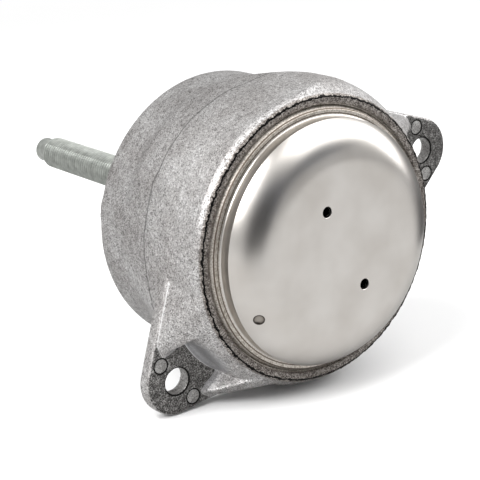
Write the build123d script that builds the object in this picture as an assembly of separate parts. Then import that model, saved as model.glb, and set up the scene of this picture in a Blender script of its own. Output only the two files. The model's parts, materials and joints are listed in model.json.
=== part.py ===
from build123d import *
import math
import os

# Hydraulic engine mount, lying on its side.
# Sizes are in millimetres. Each piece is drawn round an upright axis, with heights
# measured from the flat face of the base cup (0) towards the stud, and then laid down
# so that the stud points along +Y. The origin is the middle of the core's seat face.
# Clock angles are seen along the axis from the cup: 0 is up and 90 is towards +X.

# Base cup
CUP_WALL_RADIUS = 39.2
CUP_SHEET = 1.5
CUP_SHOULDER_RADIUS = 15.0
CUP_CREASE_HEIGHT = 7.7
CUP_FLANGE_HEIGHT = 11.7
CUP_ROOT_RADIUS = 0.8
CUP_FLANGE_WIDTH = 2.1
CUP_JOGGLE_RUN = 1.1
CUP_JOGGLE_DROP = 1.9
CUP_RIM_WIDTH = 1.5
VENT_DIAMETER = 3.5
VENT_SPACING = 29.8
VENT_ANGLE = -28.5
DIMPLE_DIAMETER = 3.4
DIMPLE_INSET = 3.6
DIMPLE_DEPTH = 0.5
DIMPLE_ANGLE = -116.3

# Housing: barrel, collar and rolled lip
RIM_FIT = 0.1
LIP_THICKNESS = 1.6
LIP_OVERHANG = 1.2
LIP_WALL = 1.4
LIP_EDGE = 0.6
COLLAR_WALL = 2.8
COLLAR_SHOULDER = 3.6
COLLAR_END = 41.0
COLLAR_BLEND = 0.8
BARREL_STEP = 0.7
BARREL_WALL = 3.6
BARREL_EDGE = 1.6
BACK_RIM = 4.0
BACK_RIM_OVERLAP = 5.0
REBOUND_GAP = 2.6
GATE_PAD_RADIUS = 14.0
GATE_PAD_RISE = 0.9
GATE_PAD_LENGTH = 16.0
GATE_PAD_ANGLE = -79.0

# Housing: ears
EAR_ANGLES = (75.5, -130.5)
EAR_REACH = 60.4
EAR_RADIUS = 11.0
EAR_HOLE_DIAMETER = 8.5
EAR_FACE_HEIGHT = 28.3
EAR_THICKNESS = 4.8
EAR_FLANK_RADIUS = 43.5
EAR_FLANK_LEDGE = 0.5
EAR_EDGE = 0.8
POCKET_LEAD = 11.6
POCKET_TRAIL = 10.8
POCKET_FLARE = 15.0
POCKET_BITE = 1.5
POCKET_CORNER = 4.4
POCKET_ROOT = 4.0
POCKET_DRAFT = 18.0
FAIRING_TOE_RADIUS = 59.0
FAIRING_DRAFT = 6.0
FAIRING_ROUND = 4.0
BULGE_RISE = 3.7
BULGE_NOSE_DROP = 1.6
BULGE_NOSE_SETBACK = 9.5
BULGE_LAND = 4.7
BULGE_TAIL_LENGTH = 21.0
BULGE_RADIUS = 30.0
BULGE_LEAD_ANGLE = 50.8
EJECTOR_SPACING = 17.4
EJECTOR_DIAMETER = 4.8
EJECTOR_DEPTH = 0.3

# Bellows and its ring
BEAD_THICKNESS = 2.5
BEAD_WIDTH = 4.0
BELLOWS_RING_SHEET = 1.0
BELLOWS_WALL = 1.8
BELLOWS_DEPTH = 7.6
BELLOWS_FOLD_RADIUS = 30.0
BELLOWS_CROWN_RADIUS = 15.0
BELLOWS_CROWN_DROP = 2.2

# Channel plates, decoupler disc and rivets
LOWER_PLATE_THICKNESS = 7.0
UPPER_PLATE_THICKNESS = 2.0
CHANNEL_EDGE = 4.4
CHANNEL_WIDTH = 6.0
CHANNEL_DEPTH = 5.0
CHANNEL_SWEEP = 300.0
CHANNEL_PORT_SWEEP = 14.0
DECOUPLER_RADIUS = 19.5
DECOUPLER_THICKNESS = 2.6
DECOUPLER_SIDE_GAP = 0.5
DECOUPLER_FLOAT = 0.9
GRID_HOLE_DIAMETER = 4.4
GRID_RING_RADII = (7.0, 14.0)
GRID_RING_COUNTS = (6, 12)
RIVET_COUNT = 4
RIVET_CIRCLE_RADIUS = 27.0
RIVET_DIAMETER = 3.0
RIVET_HEAD_DIAMETER = 6.0
RIVET_HEAD_THICKNESS = 1.0
RIVET_FIRST_ANGLE = 45.0

# Plate seal, spring ring and main spring
SEAL_THICKNESS = 1.0
SEAL_WIDTH = 2.8
SPRING_RING_SHEET = 2.0
SPRING_RING_DROP = 6.0
SPRING_RING_TAPER = 5.5
SPRING_RING_CLEARANCE = 0.4
SPRING_TOP_DIP = 2.2
SPRING_CEILING_RISE = 1.5
SPRING_SKIRT = 2.5

# Core, stud, locating pin and stops
CORE_SHOULDER_RISE = 23.4
CORE_CONE_LENGTH = 18.0
CORE_TIP_RADIUS = 11.0
CORE_SHOULDER_RADIUS = 20.0
CORE_SHOULDER_LAND = 1.6
CORE_NECK_RADIUS = 16.0
CORE_SEAT_STANDOFF = 19.8
CORE_EDGE = 1.0
STUD_DIAMETER = 12.0
STUD_SHANK_DIAMETER = 12.4
STUD_LENGTH = 129.0
STUD_GRIP = 34.0
STUD_POINT_DIAMETER = 9.2
STUD_POINT_LENGTH = 7.0
STUD_POINT_EDGE = 0.8
STUD_RUNOUT = 1.6
PIN_DIAMETER = 4.0
PIN_SHANK_DIAMETER = 4.4
PIN_DEPTH = 7.0
PIN_RISE = 5.0
PIN_RADIUS = 11.2
PIN_ANGLE = 0.0
PIN_EDGE = 0.5
STOP_SIDE_GAP = 7.5
STOP_THICKNESS = 3.0
STOP_FIT = 0.05
BUFFER_THICKNESS = 4.6
BUFFER_MARGIN = 1.0
BUFFER_SLEEVE_WALL = 3.5
BUFFER_SLEEVE_HEIGHT = 17.0
BUFFER_LIP = 1.2

# Radii that follow from the sizes above
DIMPLE_RADIUS = CUP_WALL_RADIUS - DIMPLE_INSET
JOGGLE_START = CUP_WALL_RADIUS + CUP_FLANGE_WIDTH
RIM_START = JOGGLE_START + CUP_JOGGLE_RUN
RIM_RADIUS = RIM_START + CUP_RIM_WIDTH
BORE_RADIUS = RIM_RADIUS + RIM_FIT
LIP_INNER_RADIUS = BORE_RADIUS - LIP_OVERHANG
LIP_OUTER_RADIUS = BORE_RADIUS + LIP_WALL
WEB_ROOT_RADIUS = BORE_RADIUS + LIP_WALL / 2
COLLAR_RADIUS = BORE_RADIUS + COLLAR_WALL
BULGE_CREST_RADIUS = COLLAR_RADIUS + BULGE_RISE
BARREL_RADIUS = COLLAR_RADIUS - BARREL_STEP
CHAMBER_RADIUS = BARREL_RADIUS - BARREL_WALL
CHANNEL_OUTER_RADIUS = RIM_RADIUS - CHANNEL_EDGE
SPRING_RING_FOOT_RADIUS = CHAMBER_RADIUS - SPRING_RING_CLEARANCE
SPRING_RING_TOP_RADIUS = CHAMBER_RADIUS - SPRING_RING_TAPER
SPRING_SKIRT_RADIUS = SPRING_RING_FOOT_RADIUS - SPRING_RING_SHEET - SPRING_SKIRT
STOP_RADIUS = CHAMBER_RADIUS - STOP_SIDE_GAP
BACK_OPENING_RADIUS = STOP_RADIUS - BACK_RIM_OVERLAP

# Heights that follow from the sizes above
RIM_FRONT = CUP_FLANGE_HEIGHT + CUP_JOGGLE_DROP
RIM_BACK = RIM_FRONT + CUP_SHEET
LIP_FRONT = RIM_FRONT - LIP_THICKNESS
BELLOWS_RING_BOTTOM = RIM_BACK + BEAD_THICKNESS
LOWER_PLATE_BOTTOM = BELLOWS_RING_BOTTOM + BELLOWS_RING_SHEET
UPPER_PLATE_BOTTOM = LOWER_PLATE_BOTTOM + LOWER_PLATE_THICKNESS
SEAL_BOTTOM = UPPER_PLATE_BOTTOM + UPPER_PLATE_THICKNESS
SPRING_RING_BOTTOM = SEAL_BOTTOM + SEAL_THICKNESS
LEDGE_HEIGHT = SPRING_RING_BOTTOM + SPRING_RING_SHEET
CORE_SHOULDER_HEIGHT = LEDGE_HEIGHT + CORE_SHOULDER_RISE
CORE_LAND_HEIGHT = CORE_SHOULDER_HEIGHT - CORE_SHOULDER_LAND
CORE_TIP_HEIGHT = CORE_SHOULDER_HEIGHT - CORE_CONE_LENGTH
SPRING_CEILING_HEIGHT = CORE_TIP_HEIGHT + SPRING_CEILING_RISE
SPRING_RING_TOP_HEIGHT = CORE_SHOULDER_HEIGHT - SPRING_RING_DROP
STOP_TOP = CORE_SHOULDER_HEIGHT + STOP_THICKNESS
BARREL_END = STOP_TOP + BUFFER_THICKNESS + REBOUND_GAP + BACK_RIM
CORE_SEAT_HEIGHT = BARREL_END + CORE_SEAT_STANDOFF
STUD_BOTTOM = CORE_SEAT_HEIGHT - STUD_GRIP
BULGE_NOSE_HEIGHT = EAR_FACE_HEIGHT - BULGE_NOSE_SETBACK
BULGE_TAIL_HEIGHT = EAR_FACE_HEIGHT + BULGE_LAND
BULGE_TAIL_END = BULGE_TAIL_HEIGHT + BULGE_TAIL_LENGTH


def clock(angle):
    """Direction of a clock angle, in the upright drawing position."""
    turn = math.radians(angle)
    return math.sin(turn), -math.cos(turn)


def at(angle, radius, height):
    """Location at a clock angle, a radius and a height."""
    across, along = clock(angle)
    return Pos(across * radius, along * radius, height)


def outline(*edges):
    """Face in the radius-height plane, closed from its lines and arcs."""
    return make_face([edge for line in edges for edge in (Plane.XZ * line).edges()])


def turned(*edges):
    """Body of revolution from the edges of its half section."""
    return revolve(outline(*edges), Axis.Z)


def turned_polygon(*points):
    """Body of revolution from the corners of its half section."""
    return turned(Polyline(*points, close=True))


def disc(radius, bottom, top):
    """Plain cylinder between two heights."""
    return Pos(0, 0, bottom) * extrude(Circle(radius), top - bottom)


def washer(inner, outer, bottom, top):
    """Plain ring between two heights."""
    return Pos(0, 0, bottom) * extrude(Circle(outer) - Circle(inner), top - bottom)


def polar(centre, radius, angle):
    """Point of the half section at an angle round a centre."""
    turn = math.radians(angle)
    return centre[0] + radius * math.cos(turn), centre[1] + radius * math.sin(turn)


def bend(centre, radius, first, last):
    """Arc of the half section round a centre, from the first angle to the last."""
    middle = (first + last) / 2
    return ThreePointArc(
        polar(centre, radius, first),
        polar(centre, radius, middle),
        polar(centre, radius, last),
    )


def base_cup():
    """Deep-drawn cup: flat face, round shoulder with a crease, wall and joggled rim."""
    inner_wall = CUP_WALL_RADIUS - CUP_SHEET
    inner_shoulder = CUP_SHOULDER_RADIUS - CUP_SHEET
    crease_drop = CUP_SHOULDER_RADIUS - CUP_CREASE_HEIGHT
    flat_radius = CUP_WALL_RADIUS - math.sqrt(CUP_SHOULDER_RADIUS**2 - crease_drop**2)
    centre = (flat_radius, CUP_SHOULDER_RADIUS)
    crease = -math.degrees(math.asin(crease_drop / CUP_SHOULDER_RADIUS))
    inner_crease = -math.degrees(math.acos((inner_wall - flat_radius) / inner_shoulder))
    root = (CUP_WALL_RADIUS + CUP_ROOT_RADIUS, CUP_FLANGE_HEIGHT - CUP_ROOT_RADIUS)
    shoulder = bend(centre, CUP_SHOULDER_RADIUS, -90, crease)
    inside = bend(centre, inner_shoulder, inner_crease, -90)
    front_root = bend(root, CUP_ROOT_RADIUS, 180, 90)
    back_root = bend(root, CUP_ROOT_RADIUS + CUP_SHEET, 90, 180)
    front = Polyline(
        front_root @ 1,
        (JOGGLE_START, CUP_FLANGE_HEIGHT),
        (RIM_START, RIM_FRONT),
        (RIM_RADIUS, RIM_FRONT),
        (RIM_RADIUS, RIM_BACK),
        (RIM_START, RIM_BACK),
        (JOGGLE_START, CUP_FLANGE_HEIGHT + CUP_SHEET),
        back_root @ 0,
    )
    cup = turned(
        Line((0, 0), shoulder @ 0),
        shoulder,
        Line(shoulder @ 1, front_root @ 0),
        front_root,
        front,
        back_root,
        Line(back_root @ 1, inside @ 0),
        inside,
        Line(inside @ 1, (0, CUP_SHEET)),
        Line((0, CUP_SHEET), (0, 0)),
    )
    for angle in (VENT_ANGLE, VENT_ANGLE + 180):
        cup -= at(angle, VENT_SPACING / 2, 0) * Cylinder(VENT_DIAMETER / 2, 3 * CUP_SHEET)
    return cup - dimple(flat_radius)


def dimple(flat_radius):
    """Coined dimple, square to the cup's round shoulder."""
    run = DIMPLE_RADIUS - flat_radius
    drop = math.sqrt(CUP_SHOULDER_RADIUS**2 - run**2)
    across, along = clock(DIMPLE_ANGLE)
    outward = Vector(across * run, along * run, -drop)
    spot = Plane(
        origin=(across * DIMPLE_RADIUS, along * DIMPLE_RADIUS, CUP_SHOULDER_RADIUS - drop),
        z_dir=outward,
    )
    return spot * Cylinder(DIMPLE_DIAMETER / 2, 2 * DIMPLE_DEPTH)


def flanked(large, small, reach):
    """Plan of a lug: two circles joined by their outer tangents, out along X."""
    lean = math.acos((large - small) / reach)
    across = math.cos(lean)
    along = math.sin(lean)
    tip_start = (reach + small * across, -small * along)
    tip_end = (reach + small * across, small * along)
    back_start = (large * across, large * along)
    back_end = (large * across, -large * along)
    edges = [
        Line(back_end, tip_start),
        ThreePointArc(tip_start, (reach + small, 0), tip_end),
        Line(tip_end, back_start),
        ThreePointArc(back_start, (-large, 0), back_end),
    ]
    return make_face(edges)


def towards(angle):
    """Turn that takes the X direction to a clock angle."""
    return Rot(0, 0, angle - 90)


def housing_envelope():
    """Outer body of revolution: lip, collar, step and barrel."""
    shoulder_end = LIP_FRONT + COLLAR_SHOULDER
    shoulder = ThreePointArc(
        (LIP_OUTER_RADIUS, LIP_FRONT),
        (
            COLLAR_RADIUS - (COLLAR_RADIUS - LIP_OUTER_RADIUS) / 4,
            LIP_FRONT + COLLAR_SHOULDER / 2,
        ),
        (COLLAR_RADIUS, shoulder_end),
    )
    edge = bend((BARREL_RADIUS - BARREL_EDGE, BARREL_END - BARREL_EDGE), BARREL_EDGE, 0, 90)
    return turned(
        Line((0, LIP_FRONT), (LIP_OUTER_RADIUS, LIP_FRONT)),
        shoulder,
        Polyline(
            (COLLAR_RADIUS, shoulder_end),
            (COLLAR_RADIUS, COLLAR_END - COLLAR_BLEND),
            (BARREL_RADIUS, COLLAR_END),
            edge @ 0,
        ),
        edge,
        Polyline(edge @ 1, (0, BARREL_END), (0, LIP_FRONT)),
    )


def housing_cavity():
    """Room inside: bore for the stack, ledge for the spring ring, chamber and openings."""
    return turned_polygon(
        (0, LIP_FRONT),
        (LIP_INNER_RADIUS, LIP_FRONT),
        (LIP_INNER_RADIUS, RIM_FRONT),
        (BORE_RADIUS, RIM_FRONT),
        (BORE_RADIUS, LEDGE_HEIGHT),
        (CHAMBER_RADIUS, LEDGE_HEIGHT),
        (CHAMBER_RADIUS, BARREL_END - BACK_RIM),
        (BACK_OPENING_RADIUS, BARREL_END - BACK_RIM),
        (BACK_OPENING_RADIUS, BARREL_END),
        (0, BARREL_END),
    )


def bulges():
    """Rounded bulges of the collar, at and beside the ears, each with a long tail."""
    nose_start = LIP_FRONT + LIP_EDGE
    nose = ThreePointArc(
        (LIP_OUTER_RADIUS, nose_start),
        (BULGE_CREST_RADIUS - BULGE_NOSE_DROP, BULGE_NOSE_HEIGHT),
        (BULGE_CREST_RADIUS, EAR_FACE_HEIGHT),
    )
    shape = turned(
        Polyline((WEB_ROOT_RADIUS, BULGE_TAIL_END), (WEB_ROOT_RADIUS, nose_start), nose @ 0),
        nose,
        Polyline(
            nose @ 1,
            (BULGE_CREST_RADIUS, BULGE_TAIL_HEIGHT),
            (BARREL_RADIUS, BULGE_TAIL_END),
            (WEB_ROOT_RADIUS, BULGE_TAIL_END),
        ),
    )
    plan = flanked(COLLAR_RADIUS, BULGE_RADIUS, BULGE_CREST_RADIUS - BULGE_RADIUS)
    whole = Circle(COLLAR_RADIUS)
    for angle in EAR_ANGLES:
        whole += towards(angle - BULGE_LEAD_ANGLE) * plan
        whole += towards(angle) * plan
    column = Pos(0, 0, LIP_FRONT) * extrude(whole, BULGE_TAIL_END - LIP_FRONT)
    return column & shape


def pocket_sides(start):
    """Plan of the room for the bolt's head, from a distance out, flared on one side."""
    end = EAR_REACH + 2 * EAR_RADIUS
    flare = math.tan(math.radians(POCKET_FLARE))
    return make_face(
        Polyline(
            (start, -POCKET_TRAIL),
            (end, -POCKET_TRAIL),
            (end, POCKET_LEAD + (end - EAR_REACH) * flare),
            (start, POCKET_LEAD + (start - EAR_REACH) * flare),
            close=True,
        )
    )


def fairing():
    """Rounded pads that run from the lip down both flanks of an ear."""
    top = LIP_FRONT + LIP_EDGE
    foot = EAR_FACE_HEIGHT + EAR_THICKNESS / 2
    slope = turned_polygon(
        (LIP_OUTER_RADIUS, top),
        (FAIRING_TOE_RADIUS, EAR_FACE_HEIGHT),
        (FAIRING_TOE_RADIUS, foot),
        (0, foot),
        (0, top),
    )
    plan = flanked(
        EAR_FLANK_RADIUS - EAR_FLANK_LEDGE,
        EAR_RADIUS - EAR_FLANK_LEDGE,
        EAR_REACH,
    )
    block = Pos(0, 0, foot) * extrude(plan, LIP_FRONT - foot, taper=FAIRING_DRAFT)
    pads = block & slope
    ridges = [
        edge
        for edge in pads.edges()
        if edge.bounding_box().size.Z > COLLAR_SHOULDER and edge.center().X > EAR_FLANK_RADIUS
    ]
    pads = fillet(ridges, FAIRING_ROUND)
    depth = EAR_FACE_HEIGHT - LIP_FRONT
    room = extrude(pocket_sides(0), depth, dir=(0, 0, -1), taper=-POCKET_DRAFT)
    feet = room.faces().sort_by(Axis.Z)[-1].edges().sort_by(SortBy.LENGTH)[-2:]
    room = Pos(0, 0, EAR_FACE_HEIGHT) * fillet(feet, POCKET_ROOT)
    return pads - room - disc(WEB_ROOT_RADIUS, LIP_FRONT, foot)


def pocket():
    """Room for the bolt's head over the face of an ear, cut back into the bulge."""
    plan = pocket_sides(WEB_ROOT_RADIUS / 2) - Circle(BULGE_CREST_RADIUS - POCKET_BITE)
    plan = fillet(plan.vertices().sort_by(Axis.X)[:2], POCKET_CORNER)
    room = Pos(0, 0, LIP_FRONT) * extrude(plan, EAR_FACE_HEIGHT - LIP_FRONT)
    return fillet(room.faces().sort_by(Axis.Z)[-1].edges(), POCKET_ROOT)


def ear_plate():
    """Flat plate of an ear, with its flanks running into the collar."""
    plan = flanked(EAR_FLANK_RADIUS, EAR_RADIUS, EAR_REACH)
    plate = extrude(plan, EAR_THICKNESS)
    plate = fillet(plate.faces().filter_by(Axis.Z).edges(), EAR_EDGE)
    plate -= extrude(Circle(WEB_ROOT_RADIUS), EAR_THICKNESS)
    return Pos(0, 0, EAR_FACE_HEIGHT) * plate


def ear_holes():
    """Bolt hole and ejector-pin marks of an ear."""
    holes = Pos(EAR_REACH, 0, EAR_FACE_HEIGHT) * Cylinder(EAR_HOLE_DIAMETER / 2, 3 * EAR_THICKNESS)
    for side in (1, -1):
        mark = Cylinder(EJECTOR_DIAMETER / 2, 2 * EJECTOR_DEPTH)
        holes += Pos(EAR_REACH, side * EJECTOR_SPACING / 2, EAR_FACE_HEIGHT) * mark
    return holes


def gate_pad():
    """Low round swelling at the barrel's back end, left where the casting was trimmed."""
    pad = extrude(Circle(GATE_PAD_RADIUS), GATE_PAD_LENGTH)
    reach = BARREL_RADIUS + GATE_PAD_RISE - GATE_PAD_RADIUS
    column = Pos(reach, 0, BARREL_END - BARREL_EDGE - GATE_PAD_LENGTH) * pad
    return towards(GATE_PAD_ANGLE) * column - disc(CHAMBER_RADIUS + BARREL_WALL / 2, 0, BARREL_END)


def housing():
    """Die-cast housing with its two ears, bulges, pockets and rolled lip."""
    body = housing_envelope() - housing_cavity()
    body += bulges()
    for angle in EAR_ANGLES:
        body += towards(angle) * fairing()
        body -= towards(angle) * pocket()
        body += towards(angle) * ear_plate()
    for angle in EAR_ANGLES:
        body -= towards(angle) * ear_holes()
    return body + gate_pad()


def bellows():
    """Rubber bellows: square bead, one deep fold and a flat crown."""
    bead_outer = RIM_RADIUS - BELLOWS_RING_SHEET
    bead_inner = bead_outer - BEAD_WIDTH
    middle = RIM_BACK + BEAD_THICKNESS / 2
    fold = middle - BELLOWS_DEPTH
    crown = middle - BELLOWS_CROWN_DROP
    half = BELLOWS_WALL / 2
    climb = (BELLOWS_FOLD_RADIUS + BELLOWS_CROWN_RADIUS) / 2

    def surface(lift):
        return Spline(
            (bead_inner, middle + lift),
            (BELLOWS_FOLD_RADIUS, fold + lift),
            (climb, (fold + crown) / 2 + lift),
            (BELLOWS_CROWN_RADIUS, crown + lift),
            tangents=((-1, 0), (-1, 0)),
        )

    upper = surface(half)
    lower = surface(-half)
    skin = turned(
        Line((0, crown + half), upper @ 1),
        upper,
        Line(upper @ 0, lower @ 0),
        lower,
        Polyline(lower @ 1, (0, crown - half), (0, crown + half)),
    )
    return skin + washer(bead_inner, bead_outer, RIM_BACK, BELLOWS_RING_BOTTOM)


def bellows_ring():
    """Pressed ring over the bead, with a skirt that seats on the cup's rim."""
    skirt = RIM_RADIUS - BELLOWS_RING_SHEET
    return turned_polygon(
        (skirt - BEAD_WIDTH, BELLOWS_RING_BOTTOM),
        (skirt, BELLOWS_RING_BOTTOM),
        (skirt, RIM_BACK),
        (RIM_RADIUS, RIM_BACK),
        (RIM_RADIUS, LOWER_PLATE_BOTTOM),
        (skirt - BEAD_WIDTH, LOWER_PLATE_BOTTOM),
    )


def grid_holes(bottom, top):
    """Round holes of the decoupler grid, in rings about the middle."""
    cells = disc(GRID_HOLE_DIAMETER / 2, bottom, top)
    for radius, count in zip(GRID_RING_RADII, GRID_RING_COUNTS):
        for step in range(count):
            turn = Rot(0, 0, step * 360 / count)
            cells += turn * Pos(radius, 0) * disc(GRID_HOLE_DIAMETER / 2, bottom, top)
    return cells


def channel_sector(sweep, bottom, top):
    """Part of the ring-shaped channel, from the start of its sweep."""
    outer = CHANNEL_OUTER_RADIUS
    inner = outer - CHANNEL_WIDTH
    section = Polyline((inner, bottom), (outer, bottom), (outer, top), (inner, top), close=True)
    return revolve(outline(section), Axis.Z, sweep)


def rivet_places():
    """Turns that take the X direction to each rivet."""
    return [Rot(0, 0, RIVET_FIRST_ANGLE + step * 360 / RIVET_COUNT) for step in range(RIVET_COUNT)]


def rivet_bore(radius, bottom, top):
    """Round bore on the rivets' circle."""
    return Pos(RIVET_CIRCLE_RADIUS, 0) * disc(radius, bottom, top)


def lower_channel_plate():
    """Die-cast plate: channel, outlet port, decoupler seat, grid and rivet holes."""
    seat_floor = UPPER_PLATE_BOTTOM - DECOUPLER_THICKNESS - DECOUPLER_FLOAT
    plate = disc(RIM_RADIUS, LOWER_PLATE_BOTTOM, UPPER_PLATE_BOTTOM)
    plate -= channel_sector(CHANNEL_SWEEP, UPPER_PLATE_BOTTOM - CHANNEL_DEPTH, UPPER_PLATE_BOTTOM)
    plate -= channel_sector(CHANNEL_PORT_SWEEP, LOWER_PLATE_BOTTOM, UPPER_PLATE_BOTTOM)
    plate -= disc(DECOUPLER_RADIUS + DECOUPLER_SIDE_GAP, seat_floor, UPPER_PLATE_BOTTOM)
    plate -= grid_holes(LOWER_PLATE_BOTTOM, UPPER_PLATE_BOTTOM)
    head_seat = LOWER_PLATE_BOTTOM + RIVET_HEAD_THICKNESS
    for place in rivet_places():
        plate -= place * rivet_bore(RIVET_DIAMETER / 2, LOWER_PLATE_BOTTOM, UPPER_PLATE_BOTTOM)
        plate -= place * rivet_bore(RIVET_HEAD_DIAMETER / 2, LOWER_PLATE_BOTTOM, head_seat)
    return plate


def upper_channel_plate():
    """Stamped cover of the channel: inlet port, grid and rivet holes."""
    plate = disc(RIM_RADIUS, UPPER_PLATE_BOTTOM, SEAL_BOTTOM)
    port = channel_sector(CHANNEL_PORT_SWEEP, UPPER_PLATE_BOTTOM, SEAL_BOTTOM)
    plate -= Rot(0, 0, CHANNEL_SWEEP - CHANNEL_PORT_SWEEP) * port
    plate -= grid_holes(UPPER_PLATE_BOTTOM, SEAL_BOTTOM)
    for place in rivet_places():
        plate -= place * rivet_bore(RIVET_DIAMETER / 2, UPPER_PLATE_BOTTOM, SEAL_BOTTOM)
    return plate


def decoupler_disc():
    """Loose rubber disc on the floor of its seat."""
    floor = UPPER_PLATE_BOTTOM - DECOUPLER_THICKNESS - DECOUPLER_FLOAT
    return disc(DECOUPLER_RADIUS, floor, floor + DECOUPLER_THICKNESS)


def channel_rivet():
    """Rivet with a sunk head below and a flat head above."""
    head_seat = LOWER_PLATE_BOTTOM + RIVET_HEAD_THICKNESS
    head = RIVET_HEAD_DIAMETER / 2
    rivet = rivet_bore(RIVET_DIAMETER / 2, LOWER_PLATE_BOTTOM, SEAL_BOTTOM)
    rivet += rivet_bore(head, LOWER_PLATE_BOTTOM, head_seat)
    rivet += rivet_bore(head, SEAL_BOTTOM, SEAL_BOTTOM + RIVET_HEAD_THICKNESS)
    return rivet


def plate_seal():
    """Flat rubber ring between the upper plate and the spring ring."""
    return washer(RIM_RADIUS - SEAL_WIDTH, RIM_RADIUS, SEAL_BOTTOM, SPRING_RING_BOTTOM)


def spring_ring_face():
    """Inner face of the spring ring, which the rubber is bonded to."""
    foot = SPRING_RING_FOOT_RADIUS - SPRING_RING_SHEET
    return [
        (foot, SPRING_RING_BOTTOM),
        (foot, LEDGE_HEIGHT),
        (SPRING_RING_TOP_RADIUS - SPRING_RING_SHEET, SPRING_RING_TOP_HEIGHT),
    ]


def spring_ring():
    """Drawn ring: flange on the housing's ledge and a cone inside the barrel."""
    return turned_polygon(
        *spring_ring_face(),
        (SPRING_RING_TOP_RADIUS, SPRING_RING_TOP_HEIGHT),
        (SPRING_RING_FOOT_RADIUS, LEDGE_HEIGHT),
        (RIM_RADIUS, LEDGE_HEIGHT),
        (RIM_RADIUS, SPRING_RING_BOTTOM),
    )


def main_spring():
    """Conical rubber spring between the core's cone and the spring ring."""
    bond = spring_ring_face()
    top_middle = (CORE_SHOULDER_RADIUS + bond[-1][0]) / 2
    ceiling_middle = (CORE_TIP_RADIUS + SPRING_SKIRT_RADIUS) / 2
    top = ThreePointArc(
        bond[-1],
        (top_middle, SPRING_RING_TOP_HEIGHT - SPRING_TOP_DIP),
        (CORE_SHOULDER_RADIUS, CORE_LAND_HEIGHT),
    )
    ceiling = ThreePointArc(
        (CORE_TIP_RADIUS, CORE_TIP_HEIGHT),
        (ceiling_middle, SPRING_CEILING_HEIGHT),
        (SPRING_SKIRT_RADIUS, SPRING_RING_BOTTOM),
    )
    return turned(
        Polyline(*bond),
        top,
        Line(top @ 1, ceiling @ 0),
        ceiling,
        Line(ceiling @ 1, bond[0]),
    )


def core():
    """Turned core: bonded cone, shoulder for the stop plate, neck and seat face."""
    body = turned_polygon(
        (0, CORE_TIP_HEIGHT),
        (CORE_TIP_RADIUS, CORE_TIP_HEIGHT),
        (CORE_SHOULDER_RADIUS, CORE_LAND_HEIGHT),
        (CORE_SHOULDER_RADIUS, CORE_SHOULDER_HEIGHT),
        (CORE_NECK_RADIUS, CORE_SHOULDER_HEIGHT),
        (CORE_NECK_RADIUS, CORE_SEAT_HEIGHT - CORE_EDGE),
        (CORE_NECK_RADIUS - CORE_EDGE, CORE_SEAT_HEIGHT),
        (0, CORE_SEAT_HEIGHT),
    )
    body -= disc(STUD_SHANK_DIAMETER / 2, STUD_BOTTOM, CORE_SEAT_HEIGHT)
    pin_hole = Cylinder(PIN_SHANK_DIAMETER / 2, 2 * PIN_DEPTH)
    return body - at(PIN_ANGLE, PIN_RADIUS, CORE_SEAT_HEIGHT) * pin_hole


def stud():
    """Stud with a pressed-in shank, a thread run-out and a dog point."""
    shank = STUD_SHANK_DIAMETER / 2
    radius = STUD_DIAMETER / 2
    point = STUD_POINT_DIAMETER / 2
    end = STUD_BOTTOM + STUD_LENGTH
    return turned_polygon(
        (0, STUD_BOTTOM),
        (shank, STUD_BOTTOM),
        (shank, CORE_SEAT_HEIGHT),
        (radius, CORE_SEAT_HEIGHT),
        (radius, end - STUD_POINT_LENGTH - STUD_RUNOUT),
        (point, end - STUD_POINT_LENGTH),
        (point, end - STUD_POINT_EDGE),
        (point - STUD_POINT_EDGE, end),
        (0, end),
    )


def locating_pin():
    """Round pin on the seat face, with a pressed-in shank and a chamfered end."""
    radius = PIN_DIAMETER / 2
    shank = PIN_SHANK_DIAMETER / 2
    top = CORE_SEAT_HEIGHT + PIN_RISE
    pin = turned_polygon(
        (0, CORE_SEAT_HEIGHT - PIN_DEPTH),
        (shank, CORE_SEAT_HEIGHT - PIN_DEPTH),
        (shank, CORE_SEAT_HEIGHT),
        (radius, CORE_SEAT_HEIGHT),
        (radius, top - PIN_EDGE),
        (radius - PIN_EDGE, top),
        (0, top),
    )
    return at(PIN_ANGLE, PIN_RADIUS, 0) * pin


def rebound_plate():
    """Round stop plate on the core's shoulder."""
    bore = CORE_NECK_RADIUS + STOP_FIT
    return washer(bore, STOP_RADIUS, CORE_SHOULDER_HEIGHT, STOP_TOP)


def rebound_buffer():
    """Rubber buffer: lipped pad on the stop plate and a sleeve round the neck."""
    bore = CORE_NECK_RADIUS + STOP_FIT
    sleeve = bore + BUFFER_SLEEVE_WALL
    rim = STOP_RADIUS - BUFFER_MARGIN
    pad_top = STOP_TOP + BUFFER_THICKNESS
    valley = pad_top - BUFFER_LIP
    crest = (sleeve + rim) / 2
    return turned_polygon(
        (bore, STOP_TOP),
        (rim, STOP_TOP),
        (rim, valley),
        (rim - BUFFER_LIP, pad_top),
        (crest + BUFFER_LIP, pad_top),
        (crest, valley),
        (crest - BUFFER_LIP, pad_top),
        (sleeve + BUFFER_LIP, pad_top),
        (sleeve, pad_top + BUFFER_LIP),
        (sleeve, STOP_TOP + BUFFER_SLEEVE_HEIGHT - BUFFER_LIP),
        (sleeve - BUFFER_LIP, STOP_TOP + BUFFER_SLEEVE_HEIGHT),
        (bore, STOP_TOP + BUFFER_SLEEVE_HEIGHT),
    )


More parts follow.
